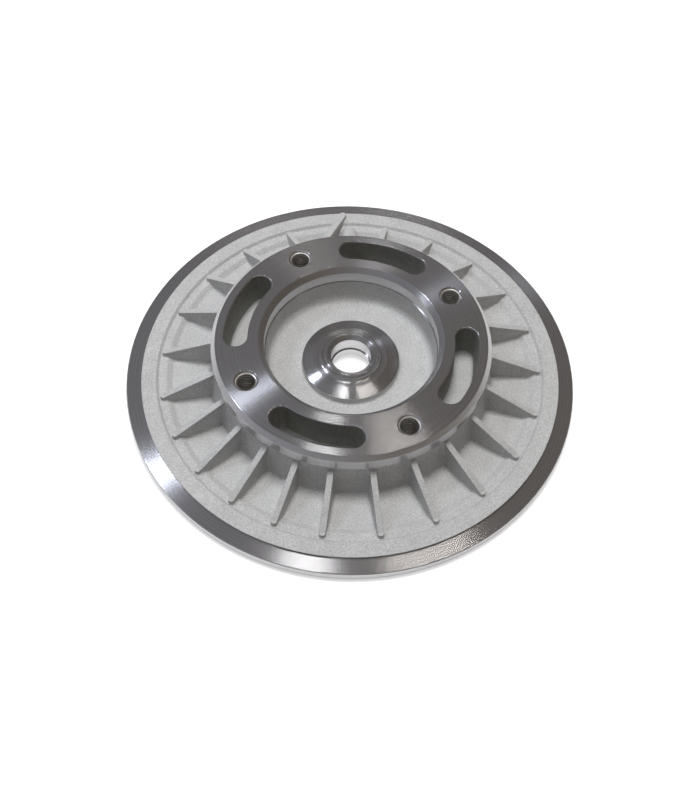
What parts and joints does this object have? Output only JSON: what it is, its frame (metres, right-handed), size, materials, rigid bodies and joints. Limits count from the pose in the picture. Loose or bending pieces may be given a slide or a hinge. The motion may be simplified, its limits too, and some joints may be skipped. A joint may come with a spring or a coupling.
{
  "type": "compressor back plate",
  "caption": "Round cast back plate with a turned rim, a raised machined ring with kidney slots, radial ribs round it and a stepped centre bore.",
  "frame": {"origin": "on the shaft axis, in the plane of the underside that faces the compressor", "axes": "+Z along the shaft axis towards the bearing housing side, +Y through the round boss beside the oblique brace, to within three degrees"},
  "size_m": [0.22, 0.22, 0.0288],
  "materials": {
    "cast_aluminium": "blasted casting skin, with turned faces on the rim, ring, counterbore and collar"
  },
  "bodies": {
    "root": {"back_plate": "cast_aluminium"}
  },
  "joints": []
}
